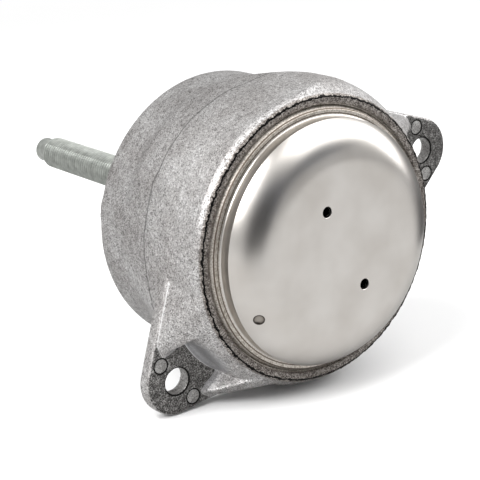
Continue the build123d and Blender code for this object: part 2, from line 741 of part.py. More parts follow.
def pieces():
    """Every piece by name, in the upright drawing position."""
    parts = {
        "housing": housing(),
        "base_cup": base_cup(),
        "bellows": bellows(),
        "bellows_ring": bellows_ring(),
        "lower_channel_plate": lower_channel_plate(),
        "decoupler_disc": decoupler_disc(),
        "upper_channel_plate": upper_channel_plate(),
        "plate_seal": plate_seal(),
        "spring_ring": spring_ring(),
        "main_spring": main_spring(),
        "core": core(),
        "stud": stud(),
        "locating_pin": locating_pin(),
        "rebound_plate": rebound_plate(),
        "rebound_buffer": rebound_buffer(),
    }
    for number, place in enumerate(rivet_places(), start=1):
        parts[f"channel_rivet_{number}"] = place * channel_rivet()
    return parts


def main():
    os.makedirs("parts", exist_ok=True)
    lay_down = Pos(0, -CORE_SEAT_HEIGHT, 0) * Rot(-90, 0, 0)
    for name, shape in pieces().items():
        export_step(lay_down * shape, f"parts/{name}.step")


main()
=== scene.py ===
import json
import math

import bmesh
import bpy
from mathutils import Matrix, Vector, noise


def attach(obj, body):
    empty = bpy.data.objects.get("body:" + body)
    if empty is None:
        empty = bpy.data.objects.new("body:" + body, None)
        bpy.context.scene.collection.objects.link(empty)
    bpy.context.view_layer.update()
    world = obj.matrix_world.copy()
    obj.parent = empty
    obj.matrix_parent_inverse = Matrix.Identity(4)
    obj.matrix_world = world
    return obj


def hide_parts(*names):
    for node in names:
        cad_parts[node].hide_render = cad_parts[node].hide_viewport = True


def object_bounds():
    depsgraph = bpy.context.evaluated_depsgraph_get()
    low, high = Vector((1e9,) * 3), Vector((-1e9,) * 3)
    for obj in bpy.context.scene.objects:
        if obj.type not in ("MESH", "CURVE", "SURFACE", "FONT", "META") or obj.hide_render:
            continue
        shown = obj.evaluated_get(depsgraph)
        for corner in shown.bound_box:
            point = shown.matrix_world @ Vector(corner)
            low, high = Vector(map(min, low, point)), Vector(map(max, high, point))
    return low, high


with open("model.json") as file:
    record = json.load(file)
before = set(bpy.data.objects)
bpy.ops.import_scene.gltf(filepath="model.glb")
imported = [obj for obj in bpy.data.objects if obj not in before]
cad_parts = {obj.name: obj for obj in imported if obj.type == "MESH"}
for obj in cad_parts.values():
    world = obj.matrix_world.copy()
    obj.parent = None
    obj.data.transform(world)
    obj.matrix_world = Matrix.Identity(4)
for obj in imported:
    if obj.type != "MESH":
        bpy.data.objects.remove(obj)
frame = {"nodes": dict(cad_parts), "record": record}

CAD_LOW, CAD_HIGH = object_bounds()
NODES = frame["nodes"]
MM = 0.001
# Settings of a mix node that lays a colour over another, and of one that multiplies the two
LAID_OVER = {"out": 2, "data_type": "RGBA"}
MULTIPLIED = {**LAID_OVER, "blend_type": "MULTIPLY"}

# The axis is +Y and the cup faces -Y. Sizes below are in millimetres, and heights are measured
# from the cup's face towards the stud.
SEAT_HEIGHT = 88.0

# Housing
LIP_HEIGHT = 12.0
LIP_INNER = 42.8
LIP_OUTER = 45.4
COLLAR_END = 41.0
EAR_HEIGHT = 28.3
EAR_REACH = 60.4
EAR_ANGLES = (75.5, -130.5)
EAR_HOLE_RADIUS = 4.25
MARK_SPACING = 17.4
MARK_RADIUS = 2.15

# Base cup
CUP_WALL = 39.2
CUP_SHEET = 1.5
CUP_SHOULDER = 15.0
CUP_CREASE = 7.7
CUP_FLANGE = 11.7
CUP_ROOT = 0.8
CUP_JOGGLE = 41.3
CUP_STEP = 42.4
CUP_RIM = 43.9
CUP_RIM_FRONT = 13.6
CUP_SEGMENTS = 256
VENT_RADIUS = 1.75
VENT_REACH = 14.9
VENT_ANGLE = -28.5
DIMPLE_REACH = 35.6
DIMPLE_ANGLE = -116.3
DIMPLE_RADIUS = 1.5
DIMPLE_DEPTH = 0.5

# Stud, with heights from the seat face
THREAD_PITCH = 1.5
THREAD_DEPTH = 0.92
THREAD_ROWS = 10
THREAD_SEGMENTS = 64
STUD_RADIUS = 6.0
SHANK_RADIUS = 6.2
STUD_FOOT = -34.0
STUD_END = 94.999
POINT_RADIUS = 4.6
POINT_LENGTH = 7.0
POINT_EDGE = 0.8
RUNOUT = 1.6

# Mesh of the casting: welded gaps, voxels, rounds of smoothing and the share of faces kept
WELD = 0.002
VOXEL = 0.45
SMOOTH_ROUNDS = 4
KEPT_SHARE = 0.3
# The lip's ragged face: depth and grain size of two layers of noise, and how far all of it sinks
RAGGED_LAYERS = ((0.28, 1.1), (0.16, 0.5))
RAGGED_SINK = 0.12
RAGGED_END = LIP_HEIGHT + 1.4
RAGGED_INNER = LIP_INNER + 0.1

# Casting's looks
GRAIN = 0.43
GRIT = 1.5
CLOUD = 11.0
BACK_FADE = (26.0, 48.0)
BACK_SHADE = 0.80
STEP_SHADE_LINE = COLLAR_END + 1.4
STEP_SHADE_HALF = 0.32
STEP_SHADE_SWAY = 3.0
EAR_FACE_INNER = 48.5
EAR_FACE_SLACK = 0.35
EAR_FACE_TILT = -0.85
POCKET_REACH = 51.5
POCKET_HEIGHT = EAR_HEIGHT - 1
POCKET_SMOOTH = (13.0, 8.0)
POCKET_WORN = 0.8
RIM_HALF = 0.15
RIM_INNER = 47.2
RIM_LENGTH = 34.0
RIM_HIGHLIGHT = 0.5
SHADE_RING = 0.3
SHADE_RING_HALF = 0.28
RUBBED_EDGE = 0.08
LIP_FADE = (LIP_HEIGHT + 1.3, LIP_HEIGHT + 0.7)
LIP_SHADE_RADIUS = LIP_OUTER - 0.25
LIP_SHADE_HALF = 0.3
LIP_SHADE_SWAY = 1.6

# Cup's looks
FILM_START = (39.4, 39.9)
CREASE_SHADE_LINES = (CUP_WALL + CUP_ROOT + 0.1, CUP_JOGGLE + 0.1)
CREASE_SHADE_HALF = 0.16
DIMPLE_LEVEL = 3.4
DIMPLE_SHADE = 2.5

# Sizes of the other materials' patterns. The fine ones are drawn coarser than the real ones,
# so that they show.
STEEL_CLOUD = 13.0
STEEL_GRAIN = 0.5
ZINC_CLOUD = 2.5
ZINC_GRAIN = 0.4
PHOSPHATE_CLOUD = 3.0
TOOL_FEED = 0.3
TURNED_CLOUD = 5.0
RUBBER_GRAIN = 0.8


def level(height):
    """Place along the axis of a height over the cup's face, in metres."""
    return (height - SEAT_HEIGHT) * MM


def place(angle, reach, height):
    """Point at a clock angle, a distance from the axis and a height, in metres."""
    turn = math.radians(angle)
    return Vector((math.sin(turn) * reach, height - SEAT_HEIGHT, math.cos(turn) * reach)) * MM


def ejector_places(height):
    """Middles of the four ejector marks, two on each ear."""
    middles = []
    for angle in EAR_ANGLES:
        turn = math.radians(angle)
        across = Vector((math.cos(turn), 0, -math.sin(turn))) * MARK_SPACING / 2 * MM
        hole = place(angle, EAR_REACH, height)
        middles += [hole + across, hole - across]
    return middles


def linear(code):
    """Linear colour of an sRGB hex value."""
    channels = [int(code[start:start + 2], 16) / 255 for start in (1, 3, 5)]
    return [c / 12.92 if c <= 0.04045 else ((c + 0.055) / 1.055) ** 2.4 for c in channels] + [1.0]


def add(tree, kind, inputs=None, out=0, stops=(), **settings):
    """Adds a node with its settings, inputs and ramp stops, and gives one of its outputs."""
    made = tree.nodes.new("ShaderNode" + kind)
    for name, value in settings.items():
        setattr(made, name, value)
    for name, value in (inputs or {}).items():
        if isinstance(value, bpy.types.NodeSocket):
            tree.links.new(value, made.inputs[name])
        else:
            made.inputs[name].default_value = value
    for index, (position, code) in enumerate(stops):
        band = made.color_ramp.elements
        stop = band[index] if index < 2 else band.new(position)
        stop.position = position
        stop.color = linear(code)
    return made.outputs[out] if made.outputs else made


def new_tree(name):
    """Empty node material and its tree."""
    material = bpy.data.materials.new(name)
    material.use_nodes = True
    material.node_tree.nodes.clear()
    return material, material.node_tree


def round_the_axis(tree):
    """Position on the part, the same flattened along the axis, its place along the axis and its
    distance from it."""
    where = add(tree, "TexCoord", out="Object")
    height = add(tree, "SeparateXYZ", {0: where}, out="Y")
    flat = add(tree, "VectorMath", {0: where, 1: (1, 0, 1)}, operation="MULTIPLY")
    radius = add(tree, "VectorMath", {0: flat}, out="Value", operation="LENGTH")
    return where, flat, height, radius


def ear_face_mask(tree, height, radius):
    """1 on the flat faces of the ears that look towards the cup's side."""
    on_face = add(tree, "Math", {0: height, 1: level(EAR_HEIGHT), 2: EAR_FACE_SLACK * MM},
                  operation="COMPARE")
    outside = add(tree, "Math", {0: radius, 1: EAR_FACE_INNER * MM}, operation="GREATER_THAN")
    front = add(tree, "SeparateXYZ", {0: add(tree, "TexCoord", out="Normal")}, out="Y")
    front = add(tree, "Math", {0: front, 1: EAR_FACE_TILT}, operation="LESS_THAN")
    mask = add(tree, "Math", {0: on_face, 1: outside}, operation="MULTIPLY")
    return add(tree, "Math", {0: mask, 1: front}, operation="MULTIPLY")


def pocket_and_rim_highlight_masks(tree, where, flat, height, radius, ear_face):
    """How smooth the hollow behind each bolt head is, and how strong the painted highlight on each
    ear's front edge is.
    """
    smooth = 0.0
    near = 1.0
    for angle in EAR_ANGLES:
        gap = add(tree, "VectorMath", {0: where, 1: place(angle, POCKET_REACH, POCKET_HEIGHT)},
                  out="Value", operation="DISTANCE")
        gap = add(tree, "MapRange", {"Value": gap, "From Min": POCKET_SMOOTH[0] * MM,
                                     "From Max": POCKET_SMOOTH[1] * MM},
                  interpolation_type="SMOOTHSTEP")
        smooth = add(tree, "Math", {0: smooth, 1: gap}, operation="MAXIMUM")
        gap = add(tree, "VectorMath", {0: flat, 1: place(angle, EAR_REACH, SEAT_HEIGHT)},
                  out="Value", operation="DISTANCE")
        near = add(tree, "Math", {0: near, 1: gap}, operation="MINIMUM")
    smooth = add(tree, "Math", {0: smooth, 1: ear_face}, operation="SUBTRACT", use_clamp=True)
    smooth = add(tree, "Math", {0: smooth, 1: POCKET_WORN}, operation="MULTIPLY")
    near = add(tree, "Math", {0: near, 1: RIM_LENGTH * MM}, operation="LESS_THAN")
    outside = add(tree, "Math", {0: radius, 1: RIM_INNER * MM}, operation="GREATER_THAN")
    rim_highlight = add(tree, "Math", {0: height, 1: level(EAR_HEIGHT - RIM_HALF), 2: RIM_HALF * MM},
              operation="COMPARE")
    rim_highlight = add(tree, "Math", {0: rim_highlight, 1: near}, operation="MULTIPLY")
    rim_highlight = add(tree, "Math", {0: rim_highlight, 1: outside}, operation="MULTIPLY")
    rim_highlight = add(tree, "Math", {0: rim_highlight, 1: ear_face}, operation="SUBTRACT", use_clamp=True)
    return smooth, add(tree, "Math", {0: rim_highlight, 1: RIM_HIGHLIGHT}, operation="MULTIPLY")


def die_cast_aluminium():
    """Die-cast aluminium, blasted and handled: grey grain with bright flecks, brown rough lip,
    dark ear faces and bolt holes rubbed bright, with painted shade along the collar's step, round
    the holes and marks and along the lip's outer edge, and a painted highlight on each ear's
    front edge."""
    material, tree = new_tree("die_cast_aluminium")
    where, flat, height, radius = round_the_axis(tree)
    # The real grain is finer. It is drawn as coarse as it needs to be to show in the render.
    fine = add(tree, "TexNoise", {"Vector": where, "Scale": 1 / (GRAIN * MM), "Detail": 4.0,
                                  "Roughness": 0.7})
    wide = add(tree, "TexNoise", {"Vector": where, "Scale": 1 / (GRIT * MM), "Detail": 3.0,
                                  "Roughness": 0.6})
    cloud = add(tree, "TexNoise", {"Vector": where, "Scale": 1 / (CLOUD * MM), "Detail": 3.0})
    speck = add(tree, "Math", {0: fine, 1: 0.75}, operation="MULTIPLY")
    speck = add(tree, "Math", {0: wide, 1: 0.25, 2: speck}, operation="MULTIPLY_ADD")
    colour = add(
        tree, "ValToRGB", {"Fac": speck},
        stops=[(0.38, "#5f5d5c"), (0.46, "#a9a7a6"), (0.54, "#d0cecd"), (0.60, "#ebeaea"),
               (0.65, "#ffffff")],
    )
    patches = add(tree, "ValToRGB", {"Fac": cloud}, stops=[(0.35, "#e2e0df"), (0.65, "#ffffff")])
    colour = add(tree, "Mix", {"Factor": 1.0, 6: colour, 7: patches}, **MULTIPLIED)
    # The back of the barrel is a little darker than the collar.
    depth = add(tree, "MapRange", {"Value": height, "From Min": level(BACK_FADE[0]),
                                   "From Max": level(BACK_FADE[1]), "To Min": 1.0,
                                   "To Max": BACK_SHADE})
    colour = add(tree, "Mix", {"Factor": 1.0, 6: colour, 7: depth}, **MULTIPLIED)
    # A line of painted shade, broken by the grain, lies along the step between collar and barrel.
    sway = add(tree, "Math", {0: cloud, 1: STEP_SHADE_SWAY * MM, 2: height},
               operation="MULTIPLY_ADD")
    step = add(tree, "Math", {0: sway, 1: level(STEP_SHADE_LINE), 2: STEP_SHADE_HALF * MM},
               operation="COMPARE")
    step = add(tree, "Math", {0: step, 1: speck}, operation="MULTIPLY")
    colour = add(tree, "Mix", {"Factor": step, 6: colour, 7: linear("#2c2b2a")}, **LAID_OVER)
    # The faces of the ears are dark.
    ear_face = ear_face_mask(tree, height, radius)
    dark = add(tree, "ValToRGB", {"Fac": speck},
               stops=[(0.38, "#2c2b2a"), (0.52, "#6d6b69"), (0.62, "#c2c0be")])
    colour = add(tree, "Mix", {"Factor": ear_face, 6: colour, 7: dark}, **LAID_OVER)
    # The hollow behind each bolt head is smooth, and the ear's front edge carries a painted
    # highlight.
    smooth, rim_highlight = pocket_and_rim_highlight_masks(tree, where, flat, height, radius, ear_face)
    colour = add(tree, "Mix", {"Factor": smooth, 6: colour, 7: linear("#b4b4b6")}, **LAID_OVER)
    colour = add(tree, "Mix", {"Factor": rim_highlight, 6: colour, 7: linear("#f6f6f6")}, **LAID_OVER)
    # A ring of painted shade circles the bolt holes and ejector marks, and both are rubbed bright
    # inside it.
    pale = add(tree, "ValToRGB", {"Fac": speck}, stops=[(0.40, "#767472"), (0.58, "#c9c7c5")])
    spots = [(place(angle, EAR_REACH, SEAT_HEIGHT), EAR_HOLE_RADIUS) for angle in EAR_ANGLES]
    spots += [(middle, MARK_RADIUS) for middle in ejector_places(SEAT_HEIGHT)]
    for middle, size in spots:
        gap = add(tree, "VectorMath", {0: flat, 1: middle}, out="Value", operation="DISTANCE")
        shade_ring = add(tree, "Math", {0: gap, 1: (size + SHADE_RING) * MM, 2: SHADE_RING_HALF * MM},
                   operation="COMPARE")
        colour = add(tree, "Mix", {"Factor": shade_ring, 6: colour, 7: linear("#191817")}, **LAID_OVER)
        rubbed = add(tree, "Math", {0: gap, 1: (size + RUBBED_EDGE) * MM}, operation="LESS_THAN")
        colour = add(tree, "Mix", {"Factor": rubbed, 6: colour, 7: pale}, **LAID_OVER)
    # The rolled lip is rough and brown, with a ragged black line of painted shade along its outer
    # edge.
    lip = add(tree, "MapRange", {"Value": height, "From Min": level(LIP_FADE[0]),
                                 "From Max": level(LIP_FADE[1])})
    brown = add(tree, "ValToRGB", {"Fac": speck},
                stops=[(0.38, "#2b2725"), (0.50, "#7d7671"), (0.64, "#cdc8c2")])
    colour = add(tree, "Mix", {"Factor": lip, 6: colour, 7: brown}, **LAID_OVER)
    ragged = add(tree, "Math", {0: wide, 1: LIP_SHADE_SWAY * MM, 2: -LIP_SHADE_SWAY / 2 * MM},
                 operation="MULTIPLY_ADD")
    edge = add(tree, "Math", {0: radius, 1: ragged}, operation="ADD")
    lip_shade = add(tree, "Math", {0: edge, 1: LIP_SHADE_RADIUS * MM, 2: LIP_SHADE_HALF * MM},
                operation="COMPARE")
    lip_shade = add(tree, "Math", {0: lip_shade, 1: lip}, operation="MULTIPLY")
    colour = add(tree, "Mix", {"Factor": lip_shade, 6: colour, 7: linear("#0c0b0a")}, **LAID_OVER)
    relief = add(tree, "Math", {0: fine, 1: 0.6, 2: wide}, operation="MULTIPLY_ADD")
    strength = add(tree, "MapRange", {"Value": smooth, "To Min": 0.5, "To Max": 0.08})
    bump = add(tree, "Bump", {"Height": relief, "Strength": strength, "Distance": 0.22 * MM})
    rough = add(tree, "MapRange", {"Value": speck, "From Min": 0.4, "From Max": 0.65,
                                   "To Min": 0.6, "To Max": 0.38})
    shader = add(tree, "BsdfPrincipled", {"Base Color": colour, "Metallic": 0.8,
                                          "Roughness": rough, "Normal": bump})
    add(tree, "OutputMaterial", {"Surface": shader})
    return material


def drawn_steel():
    """Deep-drawn steel, left bright: smooth satin, with a beige film on the flange, brown lines of
    painted shade in its creases and painted shade in a coined dimple."""
    material, tree = new_tree("drawn_steel")
    where, _, _, radius = round_the_axis(tree)
    cloud = add(tree, "TexNoise", {"Vector": where, "Scale": 1 / (STEEL_CLOUD * MM),
                                   "Detail": 2.0})
    fine = add(tree, "TexNoise", {"Vector": where, "Scale": 1 / (STEEL_GRAIN * MM), "Detail": 2.0})
    colour = add(tree, "ValToRGB", {"Fac": cloud}, stops=[(0.3, "#d2cdc7"), (0.7, "#dfdbd6")])
    film = add(tree, "MapRange", {"Value": radius, "From Min": FILM_START[0] * MM,
                                  "From Max": FILM_START[1] * MM})
    stain = add(tree, "ValToRGB", {"Fac": fine}, stops=[(0.35, "#aaa298"), (0.6, "#dcd6ce")])
    colour = add(tree, "Mix", {"Factor": film, 6: colour, 7: stain}, **LAID_OVER)
    # Painted shade darkens the floor of the coined dimple and rings its wall darker still.
    gap = add(tree, "VectorMath", {0: where, 1: place(DIMPLE_ANGLE, DIMPLE_REACH, DIMPLE_LEVEL)},
              out="Value", operation="DISTANCE")
    gap = add(tree, "MapRange", {"Value": gap, "From Max": DIMPLE_SHADE * MM})
    coined_shade = add(tree, "ValToRGB", {"Fac": gap},
                 stops=[(0.3, "#c4c1bd"), (0.56, "#aaa6a2"), (0.63, "#474340"), (0.70, "#5a5653"),
                        (0.75, "#ffffff")])
    colour = add(tree, "Mix", {"Factor": 1.0, 6: colour, 7: coined_shade}, **MULTIPLIED)
    # Painted shade draws two brown lines on the flange, in its creases at the root and the joggle.
    for line in CREASE_SHADE_LINES:
        mark = add(tree, "Math", {0: radius, 1: line * MM, 2: CREASE_SHADE_HALF * MM},
                   operation="COMPARE")
        colour = add(tree, "Mix", {"Factor": mark, 6: colour, 7: linear("#6b6057")}, **LAID_OVER)
    rough = add(tree, "MapRange", {"Value": film, "To Min": 0.30, "To Max": 0.45})
    bump = add(tree, "Bump", {"Height": fine, "Strength": 0.1, "Distance": 0.04 * MM})
    shader = add(tree, "BsdfPrincipled", {"Base Color": colour, "Metallic": 1.0,
                                          "Roughness": rough, "Normal": bump})
    add(tree, "OutputMaterial", {"Surface": shader})
    return material


def zinc_plated_steel():
    """Rolled thread under dull zinc plating: grey-green with a soft shine, and painted shade in
    the roots.
    """
    material, tree = new_tree("zinc_plated_steel")
    where, _, height, radius = round_the_axis(tree)
    cloud = add(tree, "TexNoise", {"Vector": where, "Scale": 1 / (ZINC_CLOUD * MM), "Detail": 3.0})
    colour = add(tree, "ValToRGB", {"Fac": cloud}, stops=[(0.3, "#959893"), (0.7, "#b4b7b2")])
    # Painted shade darkens the thread's roots, but not the point.
    root = add(tree, "MapRange", {"Value": radius,
                                  "From Min": (STUD_RADIUS - THREAD_DEPTH) * MM,
                                  "From Max": STUD_RADIUS * MM, "To Min": 0.68, "To Max": 1.0})
    point = add(tree, "Math", {0: height, 1: (STUD_END - POINT_LENGTH) * MM},
                operation="GREATER_THAN")
    root = add(tree, "Math", {0: root, 1: point}, operation="MAXIMUM")
    colour = add(tree, "Mix", {"Factor": 1.0, 6: colour, 7: root}, **MULTIPLIED)
    fine = add(tree, "TexNoise", {"Vector": where, "Scale": 1 / (ZINC_GRAIN * MM), "Detail": 2.0})
    bump = add(tree, "Bump", {"Height": fine, "Strength": 0.25, "Distance": 0.08 * MM})
    shader = add(tree, "BsdfPrincipled", {"Base Color": colour, "Metallic": 0.75,
                                          "Roughness": 0.52, "Normal": bump})
    add(tree, "OutputMaterial", {"Surface": shader})
    return material


def pressed_steel():
    """Pressed steel with a phosphate coat: dull dark grey, faintly mottled."""
    material, tree = new_tree("phosphated_pressed_steel")
    where = add(tree, "TexCoord", out="Object")
    cloud = add(tree, "TexNoise", {"Vector": where, "Scale": 1 / (PHOSPHATE_CLOUD * MM),
                                   "Detail": 3.0})
    colour = add(tree, "ValToRGB", {"Fac": cloud}, stops=[(0.3, "#5c5d5b"), (0.7, "#7b7c79")])
    shader = add(tree, "BsdfPrincipled", {"Base Color": colour, "Metallic": 0.8,
                                          "Roughness": 0.5})
    add(tree, "OutputMaterial", {"Surface": shader})
    return material


def turned_aluminium():
    """Turned aluminium: bright, with rings left by the tool. The real feed is finer, and it is
    drawn as coarse as it needs to be to show."""
    material, tree = new_tree("turned_aluminium")
    where, _, height, radius = round_the_axis(tree)
    feed = add(tree, "Math", {0: height, 1: radius}, operation="ADD")
    feed = add(tree, "Math", {0: feed, 1: 2 * math.pi / (TOOL_FEED * MM)}, operation="MULTIPLY")
    rings = add(tree, "Math", {0: feed}, operation="SINE")
    bump = add(tree, "Bump", {"Height": rings, "Strength": 0.15, "Distance": 0.03 * MM})
    cloud = add(tree, "TexNoise", {"Vector": where, "Scale": 1 / (TURNED_CLOUD * MM)})
    colour = add(tree, "ValToRGB", {"Fac": cloud}, stops=[(0.3, "#b5b5b4"), (0.7, "#c9c9c8")])
    shader = add(tree, "BsdfPrincipled", {"Base Color": colour, "Metallic": 1.0,
                                          "Roughness": 0.32, "Normal": bump})
    add(tree, "OutputMaterial", {"Surface": shader})
    return material


def moulded_rubber():
    """Moulded natural rubber: black, matte, with a dusty grain."""
    material, tree = new_tree("moulded_rubber")
    where = add(tree, "TexCoord", out="Object")
    grain = add(tree, "TexNoise", {"Vector": where, "Scale": 1 / (RUBBER_GRAIN * MM),
                                   "Detail": 3.0})
    colour = add(tree, "ValToRGB", {"Fac": grain}, stops=[(0.3, "#141413"), (0.7, "#262625")])
    bump = add(tree, "Bump", {"Height": grain, "Strength": 0.3, "Distance": 0.08 * MM})
    shader = add(tree, "BsdfPrincipled", {"Base Color": colour, "Roughness": 0.65,
                                          "Normal": bump})
    add(tree, "OutputMaterial", {"Surface": shader})
    return material


MATERIALS = {
    "cast_aluminium": die_cast_aluminium(),
    "drawn_steel": drawn_steel(),
    "pressed_steel": pressed_steel(),
    "plated_steel": zinc_plated_steel(),
    "turned_aluminium": turned_aluminium(),
    "spring_rubber": moulded_rubber(),
}
MATERIALS["diaphragm_rubber"] = MATERIALS["spring_rubber"]


def link_object(name, data):
    """Object with its mesh, lamp or camera, in the scene."""
    made = bpy.data.objects.new(name, data)
    bpy.context.scene.collection.objects.link(made)
    return made


def finished(name, mesh, slot, angle, node=None):
    """Piece of the part, smoothly shaded up to an angle, that rides on the part's body."""
    mesh.name = name
    mesh.shade_smooth()
    mesh.set_sharp_from_angle(angle=math.radians(angle))
    mesh.materials.clear()
    mesh.materials.append(MATERIALS[slot])
    piece = link_object(name, mesh)
    if node:
        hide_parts(node)
    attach(piece, "root")


def worked(mesh, steps):
    """Mesh after modifier steps, each given by its kind and settings."""
    blank = link_object("blank", mesh)
    for kind, settings in steps:
        step = blank.modifiers.new(kind.lower(), kind)
        for name, value in settings.items():
            setattr(step, name, value)
    graph = bpy.context.evaluated_depsgraph_get()
    result = bpy.data.meshes.new_from_object(blank.evaluated_get(graph))
    bpy.data.objects.remove(blank)
    return result


def turned(name, rings, segments, unit=MM):
    """Closed body of revolution about +Y from (radius, height) pairs, from axis to axis."""
    form = bmesh.new()
    columns = []
    for radius, height in rings:
        steps = segments if radius > 0 else 1
        turns = [2 * math.pi * step / steps for step in range(steps)]
        columns.append([
            form.verts.new((radius * unit * math.cos(turn), height * unit,
                            radius * unit * math.sin(turn)))
            for turn in turns
        ])
    for lower, upper in zip(columns, columns[1:]):
        for step in range(segments):
            following = step + 1
            corners = [
                lower[step % len(lower)],
                lower[following % len(lower)],
                upper[following % len(upper)],
                upper[step % len(upper)],
            ]
            form.faces.new(list(dict.fromkeys(corners)))
    bmesh.ops.recalc_face_normals(form, faces=form.faces)
    mesh = bpy.data.meshes.new(name)
    form.to_mesh(mesh)
    form.free()
    return mesh


def casting():
    """The housing as cast: the form's edges softened to the die's radii, and the rolled lip
    ragged. The ejector pins leave four shallow round marks on the ears."""
    form = bmesh.new()
    form.from_mesh(NODES["housing"].data)
    bmesh.ops.remove_doubles(form, verts=form.verts, dist=WELD * MM)
    mesh = bpy.data.meshes.new("housing_form")
    form.to_mesh(mesh)
    form.free()
    mesh = worked(mesh, [
        ("REMESH", {"mode": "VOXEL", "voxel_size": VOXEL * MM}),
        ("SMOOTH", {"factor": 0.5, "iterations": SMOOTH_ROUNDS}),
    ])
    for vertex in mesh.vertices:
        x, y, z = vertex.co
        if y > level(RAGGED_END) or math.hypot(x, z) < RAGGED_INNER * MM:
            continue
        spot = vertex.co / MM
        ragged = sum(depth * noise.noise(spot / size) for depth, size in RAGGED_LAYERS)
        vertex.co.y += (ragged + RAGGED_SINK) * MM
    mesh = worked(mesh, [("DECIMATE", {"ratio": KEPT_SHARE})])
    finished("die_cast_housing", mesh, "cast_aluminium", 60, "housing")
    rings = [(0, -0.12), (0.5, -0.1), (0.7, 0.0), (MARK_RADIUS - 0.3, -0.04), (MARK_RADIUS, 0.1)]
    rings += [(MARK_RADIUS, 0.5), (0, 0.5)]
    for number, middle in enumerate(ejector_places(EAR_HEIGHT)):
        name = f"ejector_mark_{number + 1}"
        mark = turned(name, rings, 32)
        mark.transform(Matrix.Translation(middle))
        finished(name, mark, "cast_aluminium", 40)


def bend(middle, radius, first, last, steps):
    """Points of an arc in the half section, angles in degrees."""
    turns = [math.radians(first + (last - first) * step / steps) for step in range(steps + 1)]
    return [
        (middle[0] + radius * math.cos(turn), middle[1] + radius * math.sin(turn))
        for turn in turns
    ]


def cup_profile(flat):
    """Half section of the cup, in heights over its face. Its flat middle ends at a radius."""
    inner = CUP_SHOULDER - CUP_SHEET
    crease = -math.degrees(math.asin((CUP_SHOULDER - CUP_CREASE) / CUP_SHOULDER))
    inner_crease = -math.degrees(math.acos((CUP_WALL - CUP_SHEET - flat) / inner))
    middle = (flat, CUP_SHOULDER)
    root = (CUP_WALL + CUP_ROOT, CUP_FLANGE - CUP_ROOT)
    back = CUP_RIM_FRONT + CUP_SHEET
    profile = [(0, 0), (8, 0), (18, 0), (flat - 1, 0)]
    profile += bend(middle, CUP_SHOULDER, -90, crease, 28)
    profile += bend(root, CUP_ROOT, 180, 90, 5)
    profile += [(CUP_JOGGLE - 0.15, CUP_FLANGE), (CUP_JOGGLE + 0.15, CUP_FLANGE + 0.25)]
    profile += [(CUP_STEP - 0.1, CUP_RIM_FRONT - 0.2), (CUP_STEP + 0.15, CUP_RIM_FRONT)]
    profile += [(CUP_RIM, CUP_RIM_FRONT), (CUP_RIM, back), (CUP_STEP, back)]
    profile += [(CUP_JOGGLE, CUP_FLANGE + CUP_SHEET)]
    profile += bend(root, CUP_ROOT + CUP_SHEET, 90, 180, 5)
    profile += bend(middle, inner, inner_crease, -90, 20)
    return profile + [(0, CUP_SHEET)]


def drawn_cup():
    """The cup as drawn: round shoulder, crease, joggled rim, two punched vents and a coined
    dimple."""
    flat = CUP_WALL - math.sqrt(CUP_SHOULDER**2 - (CUP_SHOULDER - CUP_CREASE) ** 2)
    profile = [(radius, height - SEAT_HEIGHT) for radius, height in cup_profile(flat)]
    mesh = turned("cup_form", profile, CUP_SEGMENTS)
    cutters = []
    for angle in (VENT_ANGLE, VENT_ANGLE + 180):
        rings = [(0, -3), (VENT_RADIUS + 0.1, -3), (VENT_RADIUS + 0.1, -0.01), (VENT_RADIUS, 0.1)]
        rings += [(VENT_RADIUS, 4), (0, 4)]
        vent = turned("vent", rings, 48)
        vent.transform(Matrix.Translation(place(angle, VENT_REACH, 0)))
        cutters.append(vent)
    run = DIMPLE_REACH - flat
    sink = math.sqrt(CUP_SHOULDER**2 - run**2)
    outward = place(DIMPLE_ANGLE, run, SEAT_HEIGHT - sink).normalized()
    rings = [(0, 0), (DIMPLE_RADIUS - 0.3, 0), (DIMPLE_RADIUS, 0.2), (DIMPLE_RADIUS + 0.1, 3)]
    coin = turned("dimple", rings + [(0, 3)], 48)
    turn = Vector((0, 1, 0)).rotation_difference(outward).to_matrix().to_4x4()
    seat = place(DIMPLE_ANGLE, DIMPLE_REACH, CUP_SHOULDER - sink) - outward * DIMPLE_DEPTH * MM
    coin.transform(Matrix.Translation(seat) @ turn)
    cutters.append(coin)
    tools = [link_object(cutter.name, cutter) for cutter in cutters]
    cuts = [("BOOLEAN", {"object": tool, "operation": "DIFFERENCE"}) for tool in tools]
    mesh = worked(mesh, cuts)
    for tool in tools:
        bpy.data.objects.remove(tool)
    finished("drawn_cup", mesh, "drawn_steel", 25, "base_cup")


def thread_profile(turn):
    """Depth of the thread, 0 at the crest and 1 at the root, over one turn."""
    slope = abs(turn % 1.0 - 0.5) * 2
    return min(max((0.88 - slope) / 0.66, 0.0), 1.0)


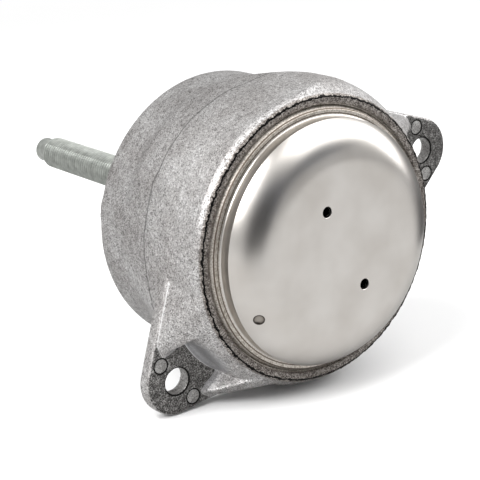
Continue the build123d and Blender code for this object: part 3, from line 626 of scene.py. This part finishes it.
def threaded_stud():
    """Stud with its real thread, a run-out at each end and a dog point."""
    thread_end = STUD_END - POINT_LENGTH
    step = THREAD_PITCH / THREAD_ROWS
    rows = [(0.0, STUD_FOOT), (SHANK_RADIUS, STUD_FOOT), (SHANK_RADIUS, 0.0)]
    rows += [(STUD_RADIUS, index * step) for index in range(int(thread_end / step) + 1)]
    rows += [(POINT_RADIUS, thread_end), (POINT_RADIUS, STUD_END - POINT_EDGE)]
    rows += [(POINT_RADIUS - POINT_EDGE, STUD_END), (0.0, STUD_END)]
    mesh = turned("stud_form", rows, THREAD_SEGMENTS, unit=1)
    for vertex in mesh.vertices:
        x, y, z = vertex.co
        radius = math.hypot(x, z)
        if 0 <= y < thread_end - 0.01 and abs(radius - STUD_RADIUS) < 0.01:
            turn = y / THREAD_PITCH - math.atan2(z, x) / (2 * math.pi)
            start = min(1.0, y / (2 * THREAD_PITCH))
            taper = (y - thread_end + RUNOUT) / RUNOUT
            cone = STUD_RADIUS + (POINT_RADIUS - STUD_RADIUS) * taper
            cut = min(STUD_RADIUS - THREAD_DEPTH * thread_profile(turn) * start, cone)
            vertex.co = (x / radius * cut, y, z / radius * cut)
    mesh.transform(Matrix.Scale(MM, 4))
    finished("threaded_stud", mesh, "plated_steel", 50, "stud")


# Camera, fitted to the photograph
FOCAL_PIXELS = 1491.47
IMAGE_PIXELS = 480
SENSOR_MM = 36.0
CAMERA_PLACE = Vector((-281.9, -417.8, 140.3)) * MM
CAMERA_RIGHT = Vector((0.79721, -0.60203, -0.04468))
CAMERA_UP = Vector((0.21477, 0.21367, 0.95300))

# Tones of the table top where it lights the part, as bright metal mirrors it and as it is seen
TABLE_TONE = 0.8
MIRRORED_TONE = 0.47
SEEN_TONE = 0.9
# Half the table's width and where it runs into the room's white, in metres
TABLE_HALF = 6.0
TABLE_FADE = (0.3, 0.9)
# Strength of the room's light, and of its white where it is seen
ROOM_LIGHT = 0.5
ROOM_WHITE = 1.0

# Lamps and cards with their place and size in metres, and a lamp's watts or a card's tone
SOFTBOXES = (
    ("left_softbox", (-0.75, -0.1, 0.75), (0.7, 0.7), 14),
    ("top_softbox", (0.5, -0.35, 0.9), (1.3, 1.1), 9),
    ("right_softbox", (1.0, -0.2, 0.35), (0.5, 0.7), 4),
)
CARDS = (
    ("front_card", (-0.25, -0.72, 0.18), (0.94, 0.98), "#343842"),
    ("low_card", (-0.17, -0.38, -0.045), (0.42, 0.8), "#16161b"),
    ("right_card", (1.1, 0.12, 0.1), (0.9, 0.5), "#39393b"),
    ("upper_card", (0.30, -0.68, 0.36), (0.85, 0.5), "#4a4e55"),
    ("side_card", (0.16, -0.02, -0.02), (0.3, 0.24), "#3a3a3c"),
)


def camera():
    """Camera at the photograph's viewing angle, with its lens."""
    data = bpy.data.cameras.new("camera")
    data.sensor_width = SENSOR_MM
    data.lens = FOCAL_PIXELS / IMAGE_PIXELS * SENSOR_MM
    data.clip_start = 0.01
    data.clip_end = 20.0
    made = link_object("camera", data)
    back = CAMERA_RIGHT.cross(CAMERA_UP).normalized()
    up = back.cross(CAMERA_RIGHT).normalized()
    turn = Matrix((CAMERA_RIGHT.normalized(), up, back)).transposed()
    made.matrix_world = Matrix.Translation(CAMERA_PLACE) @ turn.to_4x4()
    bpy.context.scene.camera = made


def softbox(name, spot, size, power):
    """Rectangular lamp aimed at the part."""
    data = bpy.data.lights.new(name, "AREA")
    data.shape = "RECTANGLE"
    data.size, data.size_y = size
    data.energy = power
    made = link_object(name, data)
    made.location = spot
    made.rotation_euler = (-Vector(spot)).to_track_quat("-Z", "Y").to_euler()
    made.visible_camera = False


def card(name, spot, size, code):
    """Soft-edged card beside the lamps, seen only where bright metal mirrors it."""
    mesh = bpy.data.meshes.new(name)
    w, h = size[0] / 2, size[1] / 2
    mesh.from_pydata([(-w, -h, 0), (w, -h, 0), (w, h, 0), (-w, h, 0)], [], [(0, 1, 2, 3)])
    material, tree = new_tree(name + "_paper")
    where = add(tree, "TexCoord", out="Object")
    spread = add(tree, "VectorMath", {0: where, 1: (1 / w, 1 / h, 1)}, operation="MULTIPLY")
    spread = add(tree, "VectorMath", {0: spread}, out="Value", operation="LENGTH")
    spread = add(tree, "MapRange", {"Value": spread, "From Min": 0.45},
                 interpolation_type="SMOOTHSTEP")
    paper = add(tree, "BsdfDiffuse", {"Color": linear(code)})
    clear = add(tree, "BsdfTransparent")
    surface = add(tree, "MixShader", {0: spread, 1: paper, 2: clear})
    add(tree, "OutputMaterial", {"Surface": surface})
    mesh.materials.append(material)
    made = link_object(name, mesh)
    made.location = spot
    made.rotation_euler = (-Vector(spot)).to_track_quat("Z", "Y").to_euler()
    made.visible_camera = False
    made.visible_shadow = False
    made.visible_diffuse = False


def seen_mask(tree):
    """1 where the camera sees the surface, itself or through glass."""
    seen = add(tree, "LightPath", out="Is Camera Ray")
    through = add(tree, "LightPath", out="Is Transmission Ray")
    return add(tree, "Math", {0: seen, 1: through}, operation="MAXIMUM")


def table():
    """White table top under the part. Where it is seen it is paler than where it lights the
    part, and far from the lamps it runs into the white of the room."""
    mesh = bpy.data.meshes.new("table_top")
    signs = ((-1, -1), (1, -1), (1, 1), (-1, 1))
    corners = [(x * TABLE_HALF, y * TABLE_HALF, CAD_LOW.z) for x, y in signs]
    mesh.from_pydata(corners, [], [(0, 1, 2, 3)])
    material, tree = new_tree("table_top_white")
    seen = seen_mask(tree)
    mirrored = add(tree, "LightPath", out="Is Glossy Ray")
    tone = add(tree, "MapRange", {"Value": mirrored, "To Min": TABLE_TONE,
                                  "To Max": MIRRORED_TONE})
    tone = add(tree, "MapRange", {"Value": seen, "To Min": tone, "To Max": SEEN_TONE})
    paper = add(tree, "BsdfDiffuse", {"Color": tone})
    where = add(tree, "TexCoord", out="Object")
    far = add(tree, "VectorMath", {0: where}, out="Value", operation="LENGTH")
    far = add(tree, "MapRange", {"Value": far, "From Min": TABLE_FADE[0],
                                 "From Max": TABLE_FADE[1]}, interpolation_type="SMOOTHSTEP")
    far = add(tree, "Math", {0: far, 1: seen}, operation="MULTIPLY")
    white = add(tree, "Emission", {"Color": (1, 1, 1, 1), "Strength": ROOM_WHITE})
    surface = add(tree, "MixShader", {0: far, 1: paper, 2: white})
    add(tree, "OutputMaterial", {"Surface": surface})
    mesh.materials.append(material)
    link_object("table_top", mesh)


def room():
    """Even studio room: grey for lighting, white where it is seen."""
    made = bpy.data.worlds.new("studio")
    bpy.context.scene.world = made
    made.use_nodes = True
    tree = made.node_tree
    tree.nodes.clear()
    strength = add(tree, "MapRange", {"Value": seen_mask(tree), "To Min": ROOM_LIGHT,
                                      "To Max": ROOM_WHITE})
    white = add(tree, "Background", {"Color": (1, 1, 1, 1), "Strength": strength})
    add(tree, "OutputWorld", {"Surface": white})


casting()
drawn_cup()
threaded_stud()
# The other pieces keep the CAD's own shapes and get their materials.
for subpart in frame["record"]["subparts"]:
    if subpart["node"] not in ("housing", "base_cup", "stud"):
        shape = NODES[subpart["node"]].data
        shape.materials.clear()
        shape.materials.append(MATERIALS[subpart["material_slot"]])
camera()
table()
room()
for lamp in SOFTBOXES:
    softbox(*lamp)
for paper in CARDS:
    card(*paper)
bpy.context.scene.view_settings.view_transform = "Standard"
